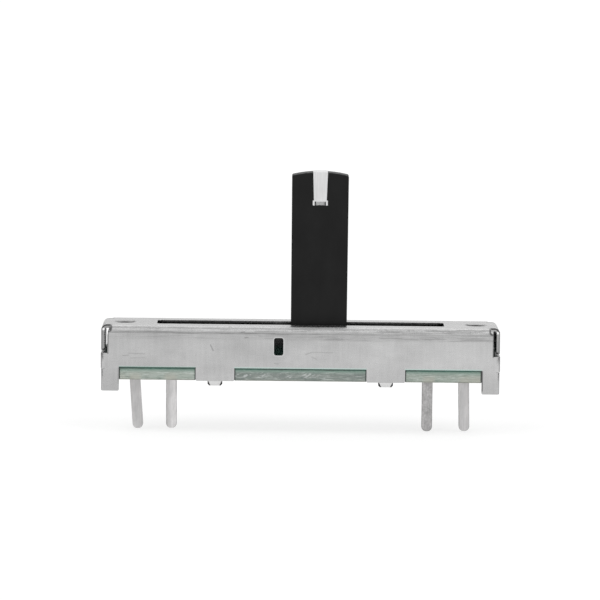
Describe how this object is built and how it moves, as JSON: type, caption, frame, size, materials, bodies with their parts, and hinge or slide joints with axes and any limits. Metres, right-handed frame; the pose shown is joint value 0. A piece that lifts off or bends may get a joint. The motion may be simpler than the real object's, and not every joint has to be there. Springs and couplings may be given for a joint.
{
  "type": "slide potentiometer",
  "caption": "Slide potentiometer in a folded metal cover with a flat black lever, a white index line, a green element board and straight solder pins.",
  "frame": {"origin": "centre of the cover's flat top face, half way between the two screw holes", "axes": "+X along the lever's travel, to the right as seen from the front; -Y towards the front wall with the sight hole; +Z out of the top face, the way the lever points"},
  "size_m": [0.035, 0.007, 0.023],
  "materials": {
    "tinned_steel": "tin-plated sheet, satin with faint blotches and scratches",
    "laminate": "glass-fibre laminate with pale cut fibres at its edges",
    "green_resist": "dark green print, semi-gloss",
    "carbon_film": "smooth printed carbon",
    "silver_carbon_film": "printed conductive film",
    "silver_ink": "matt silver print",
    "tinned_brass": "bright tin plating over brass, slightly dull",
    "black_lever_plastic": "moulded, matt",
    "black_carriage_plastic": "moulded, smooth",
    "white_plastic": "moulded, satin",
    "phosphor_bronze": "bare spring bronze",
    "spring_steel": "rolled spring strip"
  },
  "bodies": {
    "housing": {"cover": "tinned_steel", "element_board": "laminate", "resist_print": "green_resist", "resistive_track": "carbon_film", "collector_track": "silver_carbon_film", "silver_pad_1": "silver_ink", "silver_pad_2": "silver_ink", "silver_pad_3": "silver_ink", "silver_pad_4": "silver_ink", "terminal_1": "tinned_brass", "terminal_2": "tinned_brass", "terminal_3": "tinned_brass", "terminal_4": "tinned_brass"},
    "slider": {"lever": "black_lever_plastic", "index_insert": "white_plastic", "carriage": "black_carriage_plastic", "wiper": "phosphor_bronze", "leaf_spring_front": "spring_steel", "leaf_spring_rear": "spring_steel", "side_spring": "spring_steel"}
  },
  "joints": [
    {"name": "lever_slide", "type": "slide", "parent": "housing", "child": "slider", "axis": [1, 0, 0], "range_m": [-0.0116, 0.0084]}
  ]
}
